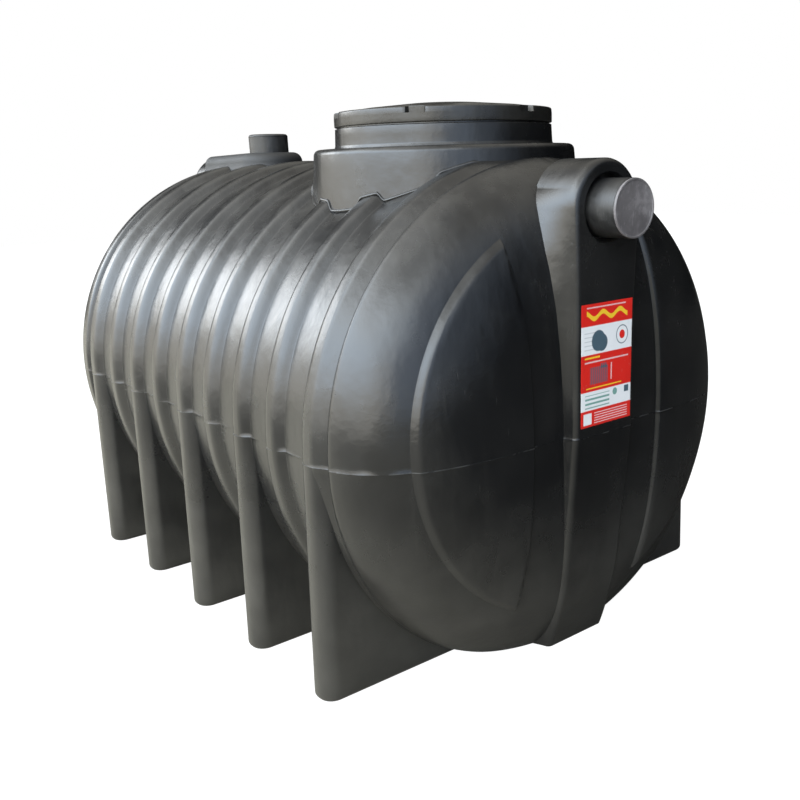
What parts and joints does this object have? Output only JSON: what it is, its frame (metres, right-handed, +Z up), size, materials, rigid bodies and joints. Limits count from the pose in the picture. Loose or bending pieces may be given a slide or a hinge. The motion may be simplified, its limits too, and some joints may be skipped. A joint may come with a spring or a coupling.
{
  "type": "horizontal septic tank",
  "caption": "Black moulded horizontal septic tank: ribbed barrel with domed ends on moulded legs, lidded manhole, capped outlet and inlet stubs at the ends and a capped top vent.",
  "frame": {"origin": "centre of the tank's footprint, at the level of the feet", "axes": "+X along the tank towards the outlet end, +Z up, +Y to the left when looking along +X"},
  "size_m": [1.83, 1.1784, 1.192],
  "materials": {
    "shell": "satin moulded polyethylene",
    "lid": "satin moulded polyethylene",
    "pipe": "dull dark grey pipe plastic",
    "cap": "scuffed grey plastic"
  },
  "bodies": {
    "root": {"barrel_upper": "shell", "barrel_lower": "shell", "front_end_upper": "shell", "front_end_lower": "shell", "rear_end_upper": "shell", "rear_end_lower": "shell", "front_column_upper": "shell", "front_column_lower": "shell", "rear_column_upper": "shell", "rear_column_lower": "shell", "left_leg_1": "shell", "left_leg_2": "shell", "left_leg_3": "shell", "left_leg_4": "shell", "left_leg_5": "shell", "right_leg_1": "shell", "right_leg_2": "shell", "right_leg_3": "shell", "right_leg_4": "shell", "right_leg_5": "shell", "manhole_collar": "shell", "manhole_neck": "shell", "manhole_lid": "lid", "vent_boss": "shell", "vent_stub": "pipe", "vent_cap": "pipe", "outlet_stub": "pipe", "outlet_cap": "cap", "inlet_stub": "pipe", "inlet_cap": "cap"}
  },
  "joints": []
}
